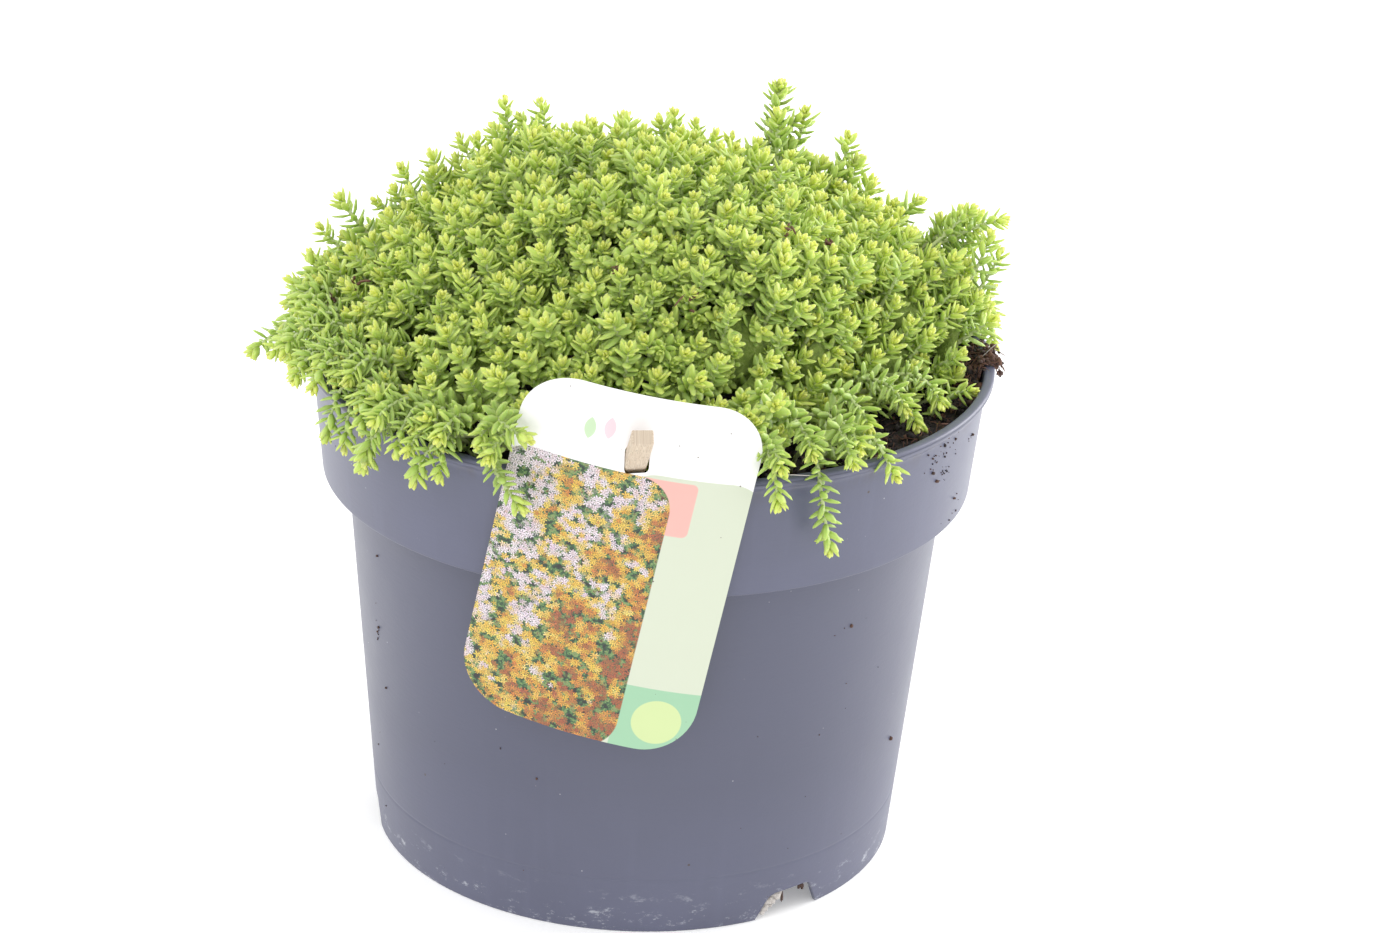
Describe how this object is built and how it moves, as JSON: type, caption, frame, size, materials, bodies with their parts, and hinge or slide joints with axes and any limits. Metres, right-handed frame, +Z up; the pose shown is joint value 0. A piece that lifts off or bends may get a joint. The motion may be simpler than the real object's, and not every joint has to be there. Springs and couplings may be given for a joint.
{
  "type": "potted succulent plant",
  "caption": "Low mat-forming stonecrop with small fleshy leaves, domed over a deep-rimmed nursery pot, with a bent plastic plant label hung on a slanting wooden stick.",
  "frame": {"origin": "centre of the pot's foot disc, on the surface that the pot stands on", "axes": "+Z up along the pot's axis, -Y towards the front, where the label hangs, +X to the viewer's right"},
  "size_m": [0.2576, 0.2595, 0.252],
  "materials": {
    "pot_plastic": "matt grey-blue moulded plastic, dusty, with faint upright streaks",
    "potting_soil": "dark brown peat crumbs with fine roots",
    "foliage": "fleshy yellow-green leaves with a soft waxy sheen",
    "label_card": "white printed plastic sheet, smooth",
    "stick_wood": "raw square-cut softwood"
  },
  "bodies": {
    "root": {"label": "label_card", "label_stick": "stick_wood", "pot": "pot_plastic", "shoot_bunch_01": "foliage", "shoot_bunch_02": "foliage", "shoot_bunch_03": "foliage", "shoot_bunch_04": "foliage", "shoot_bunch_05": "foliage", "shoot_bunch_06": "foliage", "shoot_bunch_07": "foliage", "shoot_bunch_08": "foliage", "shoot_bunch_09": "foliage", "shoot_bunch_10": "foliage", "shoot_bunch_11": "foliage", "shoot_bunch_12": "foliage", "shoot_bunch_13": "foliage", "shoot_bunch_14": "foliage", "shoot_bunch_15": "foliage", "shoot_bunch_16": "foliage", "shoot_bunch_17": "foliage", "shoot_bunch_18": "foliage", "shoot_bunch_19": "foliage", "shoot_bunch_20": "foliage", "shoot_bunch_21": "foliage", "shoot_bunch_22": "foliage", "shoot_bunch_23": "foliage", "shoot_bunch_24": "foliage", "shoot_bunch_25": "foliage", "shoot_bunch_26": "foliage", "shoot_bunch_27": "foliage", "shoot_bunch_28": "foliage", "shoot_bunch_29": "foliage", "shoot_bunch_30": "foliage", "shoot_bunch_31": "foliage", "shoot_bunch_32": "foliage", "shoot_bunch_33": "foliage", "shoot_bunch_34": "foliage", "soil": "potting_soil", "trailing_stem_1": "foliage", "trailing_stem_2": "foliage", "trailing_stem_3": "foliage", "trailing_stem_4": "foliage"}
  },
  "joints": []
}
